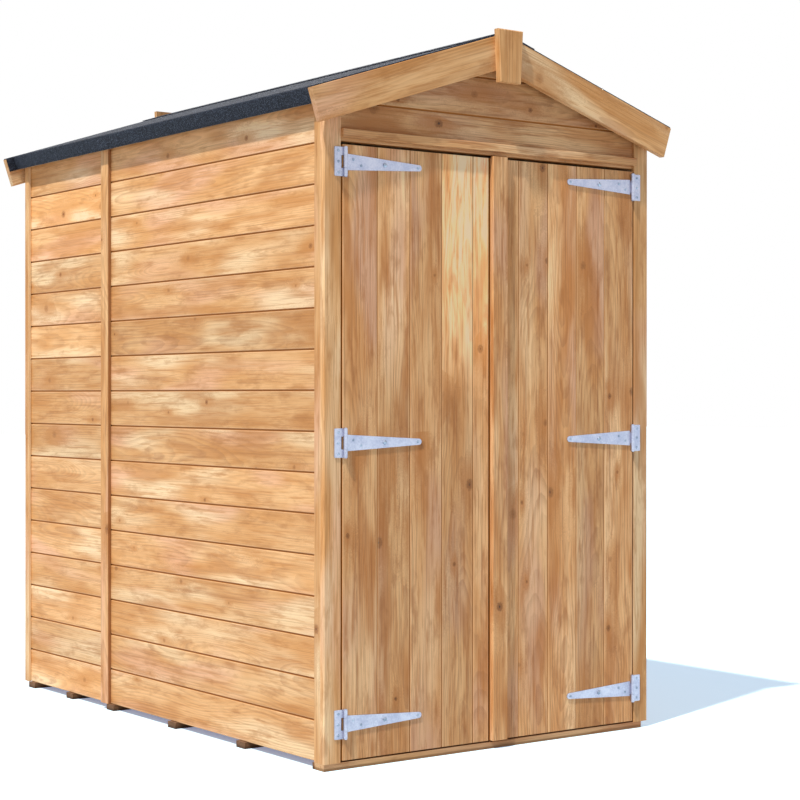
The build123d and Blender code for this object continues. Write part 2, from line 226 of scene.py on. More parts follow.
# Soft noise in the pine: scale along and across the grain, detail, roughness and shift.
PINE_NOISE = {
    "cloud": (2.8, 13.0, 3.0, 0.6, 0.0),
    "blush": (1.7, 8.0, 1.0, 0.5, 51.0),
    "pale": (1.9, 9.0, 1.0, 0.5, 21.0),
    "warm": (2.6, 15.0, 2.0, 0.55, 37.0),
    "smear": (6.0, 85.0, 3.0, 0.65, 29.0),
    "mottle": (8.0, 27.0, 4.0, 0.62, 43.0),
    "streak": (3.4, 190.0, 2.0, 0.6, 3.0),
    "fibre": (16.0, 900.0, 1.0, 0.5, 13.0),
}

# Patches over the plain pine: the noise, the values between which it fades in, and the colour.
PINE_PATCHES = [
    ("blush", 0.50, 0.66, "blush"),
    ("pale", 0.48, 0.70, "pale"),
    ("warm", 0.48, 0.68, "warm"),
    ("smear", 0.50, 0.66, "warm"),
    ("mottle", 0.51, 0.70, "stain"),
]


def pine_knots(g, u, v, seed):
    """Whether a knot is near, its size, its distance in radii, the same for the eye that the rings
    make round it, and its darkness."""
    cell = g.combine(g.math("DIVIDE", u, KNOT_CELL[0]),
                     g.math("DIVIDE", g.plus(v, g.times(seed, 17.0)), KNOT_CELL[1]), 0.0)
    near = g.add("TexVoronoi", {"Vector": cell, "Scale": 1.0, "Randomness": 0.9},
                 voronoi_dimensions="2D")
    offset = g.vector("SUBTRACT", cell, near.outputs["Position"])
    offset = g.vector("MULTIPLY", offset, (*KNOT_CELL, 0.0))
    kind = g.separate(near.outputs["Color"])
    present = g.ramp(kind[0], *KNOT_CHANCE)
    ragged = g.noise(g.combine(u, v, seed), (190.0, 190.0, 9.0), detail=2.0, shift=2.0)
    size = g.plus(g.times(kind[1], kind[1], KNOT_RADIUS[1]), KNOT_RADIUS[0])
    size = g.times(size, g.plus(ragged, 0.5))
    across = g.vector("LENGTH", g.vector("MULTIPLY", offset, (KNOT_SQUASH, 1.0, 0.0)))
    eye = g.vector("LENGTH", g.vector("MULTIPLY", offset, (EYE_SQUASH, 1.0, 0.0)))
    dark = g.ramp(kind[2], 0.2, 0.8, 0.25, 1.0)
    return present, size, g.math("DIVIDE", across, size), g.math("DIVIDE", eye, size), dark


def pine_rings(g, grain, u, v, w, seed, pull):
    """Latewood bands of a board sawn from a tapering log, from 0 to 1; pull moves them at a knot."""
    a, b = g.chance(g.plus(g.times(seed, 91.7), 0.13)), g.chance(g.plus(g.times(seed, 57.3), 7.7))
    sway = g.noise(grain, (1.6, 3.0, 3.0))
    lift = g.noise(grain, (2.1, 4.0, 4.0), shift=9.0)
    side = g.plus(v, -COVER / 2, g.centred(a[0], HEART_SIDE), g.times(u, g.centred(a[2], HEART_TILT[0])),
                  g.centred(sway, HEART_SWAY[0]))
    deep = g.plus(w, HEART_DEPTH[0], g.times(a[1], HEART_DEPTH[1]),
                  g.times(u, g.centred(b[0], HEART_TILT[1])), g.centred(lift, HEART_SWAY[1]))
    radius = g.vector("LENGTH", g.combine(side, deep, 0.0))
    spacing = g.plus(g.times(b[1], RING_SPACING[1]), RING_SPACING[0])
    ripple = g.centred(g.noise(grain, (9.0, 70.0, 70.0), shift=4.0), 0.5)
    count = g.plus(g.math("DIVIDE", g.plus(radius, pull), spacing), ripple)
    phase = g.math("FRACT", count)
    band = g.times(g.ramp(phase, 0.2, 0.9), g.ramp(phase, 0.93, 1.0, 1.0, 0.0))
    strength = g.chance(g.plus(g.math("FLOOR", count), g.times(seed, 300.0)))[0]
    return g.times(band, g.plus(g.times(strength, 0.65), 0.35))


def stain_knots(g, colour, look, present, across, eye, dark, smear):
    """The colour with its knots and the warmer wood round them, and where the knots are."""
    halo = g.times(present, g.ramp(eye, 0.8, 4.0, 1.0, 0.0))
    inside = g.times(present, g.ramp(across, 0.45, 1.30, 1.0, 0.0))
    rim = g.times(inside, g.ramp(across, 0.40, 0.85))
    heart = g.ramp(g.plus(across, g.centred(smear, 0.6)), 0.10, 0.45, 1.0, 0.0)
    whorl = g.ramp(g.math("ABSOLUTE", g.centred(g.math("FRACT", g.times(across, 3.3)), 2.0)), 0.2, 0.9)
    flesh = g.blend(g.plus(0.25, g.times(whorl, 0.45)), look["knot"], look["warm"])
    colour = g.blend(g.times(halo, 0.6), colour, look["warm"])
    colour = g.blend(g.times(inside, g.plus(0.45, g.times(dark, 0.45))), colour, flesh)
    colour = g.blend(g.times(rim, dark, 0.45), colour, look["rim"])
    return g.blend(g.times(inside, heart, dark, 0.9), colour, look["rim"]), inside


def pine_group(name, look):
    """Colour, roughness and height of planed pine, from its grain coordinates."""
    g, given, out = new_group(name, [("Grain", "Vector"), ("Seed", "Float"), ("Tone", "Float")],
                              [("Color", "Color"), ("Roughness", "Float"), ("Height", "Float")])
    seed = given["Seed"]
    u, v, w = g.separate(given["Grain"])
    run = g.plus(u, g.times(seed, 40.0))
    grain = g.combine(run, g.plus(v, g.times(seed, 11.0)), g.plus(w, g.times(seed, 5.0)))

    present, size, across, eye, dark = pine_knots(g, run, v, seed)
    pull = g.times(present, size, 2.8, g.math("EXPONENT", g.times(eye, eye, -0.11)))
    late = pine_rings(g, grain, u, v, w, seed, pull)
    soft = {kind: g.noise(grain, (lengthwise, crosswise, crosswise), *rest)
            for kind, (lengthwise, crosswise, *rest) in PINE_NOISE.items()}

    look = {**look, "blush_share": BLUSH_SHARE, "stain": g.blend(0.5, look["warm"], look["late"])}
    colour = g.blend(g.ramp(soft["cloud"], *LIGHT_TO_MID), look["light"], look["mid"])
    for kind, low, high, tint in PINE_PATCHES:
        share = g.times(g.ramp(soft[kind], low, high), look[kind + "_share"])
        colour = g.blend(share, colour, look[tint])
    colour = g.blend(g.times(late, look["ring_share"]), colour, look["late"])
    streaks = g.times(g.ramp(soft["streak"], *STREAKS), look["streak_share"])
    colour = g.blend(streaks, colour, look["late"])
    colour, inside = stain_knots(g, colour, look, present, across, eye, dark, soft["smear"])

    level = g.plus(1.0, given["Tone"], g.centred(soft["fibre"], 0.09))
    shade = g.combine(level, g.math("POWER", level, 1.12), g.math("POWER", level, 1.35))
    colour = g.vector("MINIMUM", g.vector("MULTIPLY", colour, shade), PALEST)
    rough = g.plus(look["rough"], g.centred(soft["cloud"], 0.15), g.times(late, -0.08))
    height = g.plus(g.times(late, 0.5), g.times(soft["fibre"], 0.5), g.times(inside, -0.6))
    g.feed(out, {"Color": colour, "Roughness": rough, "Height": height})
    return g.tree


# Each look's colours and numbers, in the order of these names.
COLOUR_NAMES = ("light", "mid", "pale", "blush", "warm", "late", "knot", "rim")
NUMBER_NAMES = ("pale_share", "warm_share", "smear_share", "mottle_share", "ring_share",
                "streak_share", "rough")
PINE_LOOKS = {
    "clad": ("#e8b880 #d49b5e #fadfb2 #e6b390 #bf7f3e #9a612c #8b521c #66370f",
             0.8, 0.65, 0.5, 0.5, 0.38, 0.38, 0.64),
    "door": ("#edbd85 #d3985e #f9d3a1 #cfa082 #b57132 #8a4f20 #6d3c14 #3f220c",
             0.6, 0.7, 0.55, 0.5, 0.36, 0.45, 0.64),
    "sawn": ("#ddb583 #cd9f6a #ecce9b #d6aa82 #bd8650 #a26d3d #7a4d27 #553218",
             0.5, 0.4, 0.3, 0.3, 0.35, 0.45, 0.8),
    # The bearers' look: their own colour, darkened in part as painted shade under the floor.
    "earthy_and_shaded": ("#8d6849 #795436 #a07b58 #7f5f49 #654323 #51331c #452a14 #2e1b0c",
               0.4, 0.5, 0.4, 0.3, 0.4, 0.5, 0.85),
}
LOOKS = {name: dict(zip(COLOUR_NAMES + NUMBER_NAMES, [*map(srgb, colours.split()), *numbers]))
         for name, (colours, *numbers) in PINE_LOOKS.items()}
GROOVE = srgb("#b8742c")        # the wood inside a joint
JOINT_SHADE = (0.0016, 0.0002)  # depth below a board's faces where that is full, and begins
ARRIS_HIGHLIGHT = (0.0030, 0.0065)        # painted highlight: from a board's edge, where it is lightest and where plain
ARRIS_HIGHLIGHT_SHARE = 0.22
COVER_EDGE_SHADE = srgb("#8f5a2a")    # painted shade on the narrow faces of the strips over the panel joints
PALEST = (0.95, 0.72, 0.45)     # no timber is paler than this
PINE_BUMP = 0.0004              # depth of the relief in planed pine
FRONT_BLEND = 0.01              # over which one look passes into another
NARROW = (0.6, 0.8)             # how squarely a narrow face looks across, from no painted shade or light to full
SEED_SPREAD = (97, 7.31, 3.17)  # any numbers that keep the timbers' seeds apart
GROUPS = {name: pine_group("pine_" + name, look) for name, look in LOOKS.items()}


def finish_timber(g, shader, colour, pine):
    """Gives the shader a colour and a pine group's roughness and relief."""
    g.feed(shader, {"Base Color": colour, "Roughness": pine.outputs["Roughness"],
                    "Normal": g.relief(0.6, PINE_BUMP, pine.outputs["Height"])})


def board_material(name, look, thickness):
    """Tongue-and-groove boards, read from their attributes: dark in the joints, with a painted highlight at
    the arris.
    """
    material, g, shader = new_material(name)
    grain = g.add("Attribute", attribute_name="grain").outputs["Vector"]
    board = g.separate(g.add("Attribute", attribute_name="board").outputs["Vector"])
    pine = g.add("Group", {"Grain": grain, "Seed": board[0], "Tone": board[1]}, node_tree=GROUPS[look])
    _, v, w = g.separate(grain)
    from_middle = g.math("ABSOLUTE", g.math("SUBTRACT", w, thickness / 2))
    inner, outer = (thickness / 2 - depth for depth in JOINT_SHADE)
    in_joint = g.ramp(from_middle, inner, outer, 1.0, 0.0)
    # Painted highlight: lighter near each edge of a board's face.
    from_edge = g.math("MINIMUM", v, g.math("SUBTRACT", board[2], v))
    arris_highlight = g.ramp(from_edge, *ARRIS_HIGHLIGHT, 1.0, 0.0)
    colour = g.blend(g.times(arris_highlight, ARRIS_HIGHLIGHT_SHARE), pine.outputs["Color"], LOOKS[look]["pale"])
    colour = g.blend(in_joint, colour, GROOVE)
    finish_timber(g, shader, colour, pine)
    return material


def timber_material(name, look, along, across, centre, cells=(), tone=0.0, side=None,
                    fade=None, front=None):
    """Solid timber on CAD nodes, from object coordinates. Each cell (axis, origin, spacing) holds
    one length of timber, so that the lengths in a node differ. side (colour, share) gives the
    faces that look across painted shade or painted light. fade (axis, start, stop, amount) adds to the tone
    from start to stop.
    front (y, look) is the look before that y."""
    material, g, shader = new_material(name)
    place = g.add("TexCoord").outputs["Object"]
    local = list(g.separate(g.vector("SUBTRACT", place, tuple(centre))))
    if fade:
        axis, start, stop, amount = fade
        tone = g.map_range(g.separate(place)[axis], start, stop, tone, tone + amount)
    numbers = []
    for axis, origin, spacing in cells:
        from_origin = g.plus(local[axis], centre[axis] - origin)
        number = g.math("FLOOR", g.math("DIVIDE", from_origin, spacing))
        local[axis] = g.plus(from_origin, g.times(number, -spacing), -spacing / 2)
        numbers.append(number)
    names, first, further = SEED_SPREAD
    mixed = g.plus(sum(ord(letter) for letter in name) % names + 0.5,
                   *[g.times(number, first + further * i) for i, number in enumerate(numbers)])
    seed = g.chance(mixed)[1]
    moved = g.combine(*local)
    through = along.cross(across)
    axes = [g.vector("DOT_PRODUCT", moved, tuple(axis)) for axis in (along, across, through)]
    grain = g.combine(axes[0], g.plus(axes[1], COVER / 2), g.plus(axes[2], BOARD / 2))

    given = {"Grain": grain, "Seed": seed, "Tone": tone}
    pine = g.add("Group", given, node_tree=GROUPS[look])
    colour = pine.outputs["Color"]
    if front:
        before = g.ramp(g.separate(place)[Y], front[0] - FRONT_BLEND, front[0], 1.0, 0.0)
        other = g.add("Group", given, node_tree=GROUPS[front[1]])
        colour = g.blend(before, colour, other.outputs["Color"])
    # Painted shade or painted light on the faces that look across, as side gives it.
    if side:
        facing = g.vector("DOT_PRODUCT", g.add("NewGeometry").outputs["Normal"], tuple(across))
        narrow = g.ramp(g.math("ABSOLUTE", facing), *NARROW)
        colour = g.blend(g.times(narrow, side[1]), colour, side[0])
    finish_timber(g, shader, colour, pine)
    return material


# ---------------- other materials
BITUMEN = srgb("#191c25"), srgb("#222631")
FELT_PATCH = srgb("#2d3240")
DARK_SLATE, PALE_SLATE = srgb("#101217"), srgb("#525a6c")
SLATE_GRAINS, SPANGLES = 600.0, 260.0  # to the metre
FELT_BUMP, ZINC_BUMP = 0.0006, 0.0002
SPANGLE_SHARE = 0.22                   # of zinc's colour; the rest is cloud


def felt_material():
    """Mineral-surfaced roofing felt: dark bitumen under pale and dark slate grains."""
    material, g, shader = new_material("mineral_felt")
    place = g.add("TexCoord").outputs["Object"]
    grains = g.add("TexVoronoi", {"Vector": place, "Scale": SLATE_GRAINS})
    kind = g.separate(grains.outputs["Color"])[0]
    cloud = g.noise(place, (5.0, 5.0, 5.0), detail=3.0)
    patch = g.noise(place, (38.0, 38.0, 38.0), detail=3.0, rough=0.65)
    colour = g.blend(g.ramp(cloud, 0.3, 0.7), *BITUMEN)
    colour = g.blend(g.times(g.ramp(patch, 0.45, 0.75), 0.6), colour, FELT_PATCH)
    colour = g.blend(g.ramp(kind, 0.75, 1.0), colour, PALE_SLATE)
    colour = g.blend(g.ramp(kind, 0.22, 0.04), colour, DARK_SLATE)
    height = g.plus(g.times(grains.outputs["Distance"], -1.0), g.times(patch, 0.5))
    relief = g.relief(0.9, FELT_BUMP, height)
    g.feed(shader, {"Base Color": colour, "Roughness": g.ramp(kind, 0.0, 1.0, 0.95, 0.72),
                    "Normal": relief, "Specular IOR Level": 0.25})
    return material


def zinc_material(name, dull, bright, rough):
    """Galvanised steel: faint spangle, light scuffs and a soft sheen."""
    material, g, shader = new_material(name)
    place = g.add("TexCoord").outputs["Object"]
    spangle = g.add("TexVoronoi", {"Vector": place, "Scale": SPANGLES}).outputs["Color"]
    cloud = g.noise(place, (30.0, 30.0, 30.0), detail=3.0)
    scuff = g.noise(place, (60.0, 60.0, 900.0), detail=2.0, shift=5.0)
    mixed = g.plus(g.times(g.separate(spangle)[1], SPANGLE_SHARE), g.times(cloud, 1 - SPANGLE_SHARE))
    colour = g.blend(g.ramp(mixed, 0.25, 0.75), dull, bright)
    relief = g.relief(0.25, ZINC_BUMP, scuff)
    g.feed(shader, {"Base Color": colour, "Roughness": g.ramp(mixed, 0.2, 0.8, rough + 0.08, rough - 0.06),
                    "Normal": relief, "Metallic": 0.9})
    return material


MATERIALS = {
    "clad_side": board_material("cladding_pine", "clad", BOARD),
    "clad_door": board_material("door_pine", "door", BOARD),
    "floor": board_material("floor_pine", "sawn", BOARD),
    "roof": board_material("roof_pine", "sawn", ROOF_BOARD),
    "felt": felt_material(),
    "zinc": zinc_material("galvanised_steel", srgb("#acacc0"), srgb("#c4c1cf"), 0.45),
    "screw": zinc_material("zinc_screws", srgb("#7f8899"), srgb("#b9c1d0"), 0.42),
    "clout": zinc_material("clout_nails", srgb("#5c636f"), srgb("#7d8592"), 0.5),
}


# ---------------- board meshes
def mesh_data(name, mesh):
    """The mesh block of a bmesh, which is freed."""
    data = bpy.data.meshes.new(name)
    mesh.to_mesh(data)
    mesh.free()
    return data


def new_object(name, data):
    """An object in the scene, made of its data."""
    made = bpy.data.objects.new(name, data)
    bpy.context.scene.collection.objects.link(made)
    return made


def add_piece(name, data, material, body, replaced):
    """Makes a mesh a piece that rides on a body and stands for CAD nodes."""
    piece = new_object(name, data)
    data.materials.append(material)
    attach(piece, body)
    if replaced:
        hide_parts(*replaced)
    return piece


def smooth_step(x):
    """A smooth rise from 0 to 1 as x goes from 0 to 1."""
    x = max(0.0, min(1.0, x))
    return x * x * (3 - 2 * x)


def steps(start, stop, pitch):
    """Evenly spaced values from start to stop, about a pitch apart."""
    count = max(1, round(abs(stop - start) / pitch))
    return [start + (stop - start) * i / count for i in range(count + 1)]


def board_profile(width, thickness, gaps, chamfer, tongue, groove, cuts):
    """The (v, w) outline of a board: its groove is on the v = 0 side and its tongue on the other.
    Its faces get a point at each place in cuts."""
    low, high = gaps[0] / 2, width - gaps[1] / 2
    middle = thickness / 2
    points = [(low + BACK_CHAMFER, 0), (low, BACK_CHAMFER)]
    if groove:
        points += [(low, middle - GROOVE_HALF), (low + GROOVE_DEPTH, middle - GROOVE_HALF)]
        points += [(low + GROOVE_DEPTH, middle + GROOVE_HALF), (low, middle + GROOVE_HALF)]
    points += [(low, thickness - chamfer), (low + chamfer, thickness)]
    points += [(cut, thickness) for cut in cuts]
    points += [(high - chamfer, thickness), (high, thickness - chamfer)]
    if tongue:
        points += [(high, middle + TONGUE_HALF), (high + TONGUE_REACH, middle + TONGUE_HALF * TONGUE_TIP)]
        points += [(high + TONGUE_REACH, middle - TONGUE_HALF * TONGUE_TIP), (high, middle - TONGUE_HALF)]
    points += [(high, BACK_CHAMFER), (high - BACK_CHAMFER, 0)]
    return points + [(cut, 0) for cut in reversed(cuts)]


def add_board(mesh, outline, stops, place_point, marks, shift):
    """One board between its two stops. place_point(u, v, w) gives a point of it in the frame, and
    marks(share) gives its seed, tone and width at that share of its length."""
    grain = mesh.verts.layers.float_vector["grain"]
    board = mesh.verts.layers.float_vector["board"]
    rings = []
    for share in steps(0.0, 1.0, 1 / BOARD_STRETCHES):
        ring = []
        for v, w in outline:
            start, stop = stops(v, w)
            u = start + (stop - start) * share
            vert = mesh.verts.new(place_point(u, v, w))
            vert[grain] = (u + shift, v, w)
            vert[board] = marks(share)
            ring.append(vert)
        rings.append(ring)
    for near, far in pairwise(rings):
        for i in range(len(outline)):
            mesh.faces.new((near[i - 1], near[i], far[i], far[i - 1]))
    mesh.faces.new(rings[0])
    mesh.faces.new(rings[-1])


def no_tone(*where):
    """The tone of boards that differ only by chance."""
    return 0.0


def board_panel(name, origin, axes, edges, ends, thickness, material, body, replaced,
                tone=no_tone, seed=0, cuts=(), joint=WALL_JOINT, spread=WALL_SPREAD):
    """One joined mesh of boards side by side. edges are the joints' places across the panel, axes
    are the directions of u, v and w, and each pair in ends(v, w) is where a board starts and stops.
    tone(number, v, share) makes a board paler, and spread is how far it may stray from that."""
    along, across, out = axes
    dice = random.Random(seed)
    mesh = bmesh.new()
    mesh.verts.layers.float_vector.new("grain")
    mesh.verts.layers.float_vector.new("board")
    for number, (low, high) in enumerate(pairwise(edges)):
        first, last = number == 0, number == len(edges) - 2
        gaps = (0 if first else joint[0], 0 if last else joint[0])
        inner = [cut - low for cut in cuts if low + CUT_MARGIN < cut < high - CUT_MARGIN]
        outline = board_profile(high - low, thickness, gaps, joint[1], not last, not first, inner)
        sink = dice.uniform(0.0, LARGEST_SINK)

        def place_point(u, v, w):
            depth = w - sink if w > thickness / 2 else w
            return origin + along * u + across * (low + v) + out * depth

        for part in range(len(ends(low, 0))):
            number_seed, lighter = dice.random(), dice.uniform(-spread, spread)

            def marks(share):
                return number_seed, tone(number, (low + high) / 2, share) + lighter, high - low

            add_board(mesh, outline, lambda v, w: ends(low + v, w)[part], place_point, marks,
                      dice.uniform(0.0, GRAIN_SHIFT))
    bmesh.ops.recalc_face_normals(mesh, faces=mesh.faces)
    add_piece(name, mesh_data(name, mesh), material, body, replaced)


def course_edges(bottom, top):
    """Joint levels between bottom and top, where no board is narrower than a third of a cover."""
    edges = [COURSE_BASE + COVER * n for n in range(int((top - COURSE_BASE) / COVER) + 1)]
    inner = [edge for edge in edges if bottom + COVER / 3 < edge < top - COVER / 3]
    return [bottom] + inner + [top]


def roof_height(x):
    """Level of the roof boards' underside at x."""
    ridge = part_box("roof_boards_right")[1].z
    return ridge - abs(x) * SLOPE_TAN - (ROOF_BOARD + SEAT) / SLOPE_COS


WALL_TONE = -0.03         # of a side wall between top and foot
WALL_TOP = (1.35, 0.13)   # level above which it grows paler, and by how much
WALL_FOOT = (0.85, 0.11)  # level below which it does, and by how much
WALL_FADE = 0.3           # height over which it does
DOOR_FADE = (0.55, 0.2)   # where a door board's upper tone begins, and over what share


def side_wall(name, side, seed, paler=0.0, tones=()):
    """Horizontal boards on one side panel; side is -1 on the left and 1 on the right. tones gives
    what boards add to their tone, by number from the ground."""
    low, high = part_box(name)
    origin = Vector((high.x, high.y, 0)) if side < 0 else Vector((low.x, low.y, 0))
    length = high.y - low.y
    top = roof_height(max(abs(low.x), abs(high.x)))

    def tone(number, level, share):
        upper = WALL_TOP[1] * smooth_step((level - WALL_TOP[0]) / WALL_FADE)
        lower = WALL_FOOT[1] * smooth_step((WALL_FOOT[0] - level) / WALL_FADE)
        return paler + WALL_TONE + upper + lower + dict(tones).get(number, 0.0)

    board_panel(name.replace("wall", "boards"), origin, (BACK * side, UP, RIGHT * side),
                course_edges(low.z, top), lambda v, w: [(0, length)], BOARD,
                MATERIALS["clad_side"], "root", [name], tone, seed)


def end_wall(name, new_name, side, material, seed):
    """Horizontal boards whose ends follow the roof, on the back wall or the gable over the doors."""
    low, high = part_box(name)
    origin = Vector((0, high.y if side < 0 else low.y, 0))
    ridge = roof_height(0)

    def ends(v, w):
        reach = max(GABLE_TIP, min(high.x, (ridge - v) / SLOPE_TAN))
        return [(-reach, reach)]

    board_panel(new_name, origin, (RIGHT, UP, BACK * side), course_edges(low.z, high.z), ends,
                BOARD, material, "root", [name], seed=seed, cuts=[roof_height(high.x)])


def door_panel(name, side, body, seed, tones):
    """Vertical door boards, set out from the hinge side; side is -1 on the left door. tones are
    each board's, at its bottom and at its top."""
    low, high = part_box(name)
    width, height = high.x - low.x, high.z - low.z

    def tone(number, v, share):
        bottom, top = tones[number]
        return bottom + (top - bottom) * smooth_step((share - DOOR_FADE[0]) / DOOR_FADE[1])

    edges = [0.0, DOOR_HINGE_BOARD]
    while width - edges[-1] > DOOR_COVER * WIDEST_LAST:
        edges.append(edges[-1] + DOOR_COVER)
    edges.append(width)
    origin = Vector((low.x if side < 0 else high.x, high.y, low.z))
    board_panel(name.replace("boards", "planks"), origin, (UP, RIGHT * -side, -BACK), edges,
                lambda v, w: [(0, height)], BOARD, MATERIALS["clad_door"], body, [name],
                tone, seed, joint=DOOR_JOINT, spread=DOOR_SPREAD)


def even_edges(width):
    """Joints a cover apart, with what is left on the last board."""
    return [COVER * n for n in range(int(width / COVER) + 1)] + [width]


def floor_panel():
    """Floor boards from front to back, in two sections that meet on a shared bearer."""
    low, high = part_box("floor_deck")
    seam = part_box("wall_left_front")[1].y - FLOOR_SEAM_INSET - low.y
    spans = [(0, seam - SEAM_GAP / 2), (seam + SEAM_GAP / 2, high.y - low.y)]
    board_panel("floor_planks", low, (BACK, RIGHT, UP), even_edges(high.x - low.x),
                lambda v, w: spans, BOARD, MATERIALS["floor"], "root", ["floor_deck"],
                seed=61)


def slope_axes(side):
    """Directions down the slope and square out of it, on the right (1) or the left (-1)."""
    down = Vector((side * SLOPE_COS, 0, -SLOPE_SIN))
    out = Vector((side * SLOPE_SIN, 0, SLOPE_COS))
    return down, out


def roof_panel(name, side, seed):
    """Roof boards from the ridge to the eaves, with their chamfered joints on the underside."""
    low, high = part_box(name)
    down, out = slope_axes(side)
    length = (high.x - low.x) / SLOPE_COS
    origin = Vector((0, low.y, high.z))
    board_panel(name.replace("boards", "planks"), origin, (down, BACK, -out),
                even_edges(high.y - low.y),
                lambda v, w: [(w * SLOPE_TAN + SEAT, length)], ROOF_BOARD,
                MATERIALS["roof"], "root", [name], seed=seed)


# ---------------- felt
FELT_FOLD = 0.045          # drop of the felt below the roof boards' face
FELT_LAP = 0.0260          # its reach over the bargeboards past the fold
FELT_STEP = 0.012          # spacing of its mesh lines, along and across
FELT_BEND = 0.005          # outer radius of the fold over the eaves
FELT_WANDER = 0.0005       # unevenness of the felt's face
FELT_EDGE_WANDER = 0.0012  # unevenness of its cut lower edge
FELT_WAVES = (0.21, 9.0)   # pace of the face's unevenness, to a mesh line and to the metre
FELT_EDGE_WAVES = 14.0     # pace of the edge's, to the metre
FELT_TURN = 22.5           # degrees from one mesh line to the next in the fold
RIDGE_BEND = 0.008


def lay_sheet(mesh, lines, facing):
    """A sheet over lines of points, all its faces facing one way."""
    grid = [[mesh.verts.new(point) for point in line] for line in lines]
    faces = []
    for near, far in pairwise(grid):
        for i in range(len(near) - 1):
            faces.append(mesh.faces.new((near[i], far[i], far[i + 1], near[i + 1])))
    mesh.normal_update()
    if faces[len(faces) // 2].normal.dot(facing) < 0:
        bmesh.ops.reverse_faces(mesh, faces=faces)


def lay_felt(mesh, path, rows, seed):
    """A strip of felt's outer face over a path of (point, outward direction) pairs, at each row."""

    def settle(i, point, out, y):
        sag = noise.noise(Vector((i * FELT_WAVES[0], y * FELT_WAVES[1], seed))) - 1.0
        return Vector((point.x, y, point.z)) + out * sag * FELT_WANDER / 2

    lines = [[settle(i, point, out, y) for y in rows] for i, (point, out) in enumerate(path)]
    lay_sheet(mesh, lines, path[len(path) // 2][1])


def lay_turned(mesh, points, heights, out, y):
    """The felt turned along a bargeboard's inner face, which looks to the front."""
    lines = [[point + out * height for height in heights] for point in points]
    lay_sheet(mesh, [[Vector((here.x, y, here.z)) for here in line] for line in lines], -BACK)


def finish_felt(mesh, name, thickness, replaced):
    """Makes a piece of an outer face, thickened inwards."""
    data = mesh_data(name, mesh)
    data.shade_smooth()
    piece = add_piece(name, data, MATERIALS["felt"], "root", replaced)
    solid = piece.modifiers.new("thickness", "SOLIDIFY")
    solid.thickness, solid.offset = thickness, -1.0


def felt_sizes(name):
    """How far the felt's face stands off the roof boards, and the places down the slope where it
    ends over the bargeboards and where it folds down."""
    low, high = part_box(name)
    lift = SEAT + FELT
    tip = (max(abs(low.x), abs(high.x)) - lift * SLOPE_SIN) / SLOPE_COS
    return lift, tip, tip - FELT_LAP


def slope_felt(name, side, seed):
    """One slope's felt: over the boards, folded down at the eaves, lapped over the bargeboards and
    turned along the inner face of the back one."""
    low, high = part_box(name)
    down, out = slope_axes(side)
    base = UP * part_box("roof_boards_right")[1].z
    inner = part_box("roof_boards_right")[1].y - SEAT
    lift, tip, reach = felt_sizes(name)
    fold = FELT_FOLD + lift

    def flat(start, stop):
        return [(base + down * u + out * lift, out) for u in steps(start, stop, FELT_STEP)]

    bend = []
    for turn in map(math.radians, steps(0.0, 90.0, FELT_TURN)[1:]):
        facing = out * math.cos(turn) + down * math.sin(turn)
        centre = base + down * (reach - FELT_BEND) + out * (lift - FELT_BEND)
        bend.append((centre + facing * FELT_BEND, facing))
    drop = [(base + down * reach + out * (lift - d), down) for d in steps(FELT_BEND, fold, FELT_STEP)[1:]]
    crown = -lift * SLOPE_TAN
    path = flat(crown, reach - FELT_BEND) + bend + drop
    rows = steps(-inner, inner, FELT_STEP)
    mesh = bmesh.new()
    lay_felt(mesh, path, rows, seed)
    for front, back in ((low.y, -inner), (inner, high.y)):
        lay_felt(mesh, flat(crown, tip), steps(front, back, FELT_STEP), seed)
    turned = [base + down * u for u in steps(reach - FELT / 2, tip, FELT_STEP / 2)]
    heights = [lift - d for d in steps(0, fold, FELT_STEP / 2)]
    lay_turned(mesh, turned, heights, out, inner - FELT)
    for vert in mesh.verts:
        fallen = (base - vert.co).dot(out) + lift
        if fallen > fold - FELT_STEP / 8:
            wander = noise.noise(Vector((seed, vert.co.y * FELT_EDGE_WAVES, 0)))
            vert.co += out * FELT_EDGE_WANDER * (wander + 1) / 2
    finish_felt(mesh, name.replace("roof_felt", "felt_sheet"), FELT, [name])


def ridge_sizes(name):
    """How far the ridge strip's face stands off the roof boards, and its reach down each slope."""
    lift = 2 * SEAT + FELT + RIDGE_FELT
    return lift, (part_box(name)[1].x - lift * SLOPE_SIN) / SLOPE_COS


def ridge_felt(name, seed):
    """The strip over the ridge, bent round it."""
    low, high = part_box(name)
    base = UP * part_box("roof_boards_right")[1].z
    lift, wing = ridge_sizes(name)
    start = RIDGE_BEND * SLOPE_TAN - lift * SLOPE_TAN
    path = []
    for side in (-1, 1):
        down, out = slope_axes(side)
        half = [(base + down * u + out * lift, out) for u in steps(start, wing, FELT_STEP)]
        path += half[::-1] if side < 0 else half
    crown = base + UP * (lift / SLOPE_COS - RIDGE_BEND * (1 / SLOPE_COS - 1))
    path.insert(len(path) // 2, (crown, UP))
    mesh = bmesh.new()
    lay_felt(mesh, path, steps(low.y, high.y, FELT_STEP), seed)
    finish_felt(mesh, "felt_ridge_strip", RIDGE_FELT, [name])


# ---------------- screws, bolts and nails
HEAD_SIDES = 20
HEAD_RINGS = [1.0, 0.97, 0.86, 0.7, 0.52, 0.34, 0.2, 0.1]  # as shares of the radius
HEAD_RIM = 0.35                      # height of the dome's edge, as a share of its rise
CROSS_HALF, CROSS_REACH = 0.13, 0.6  # of the recess, as shares of the radius


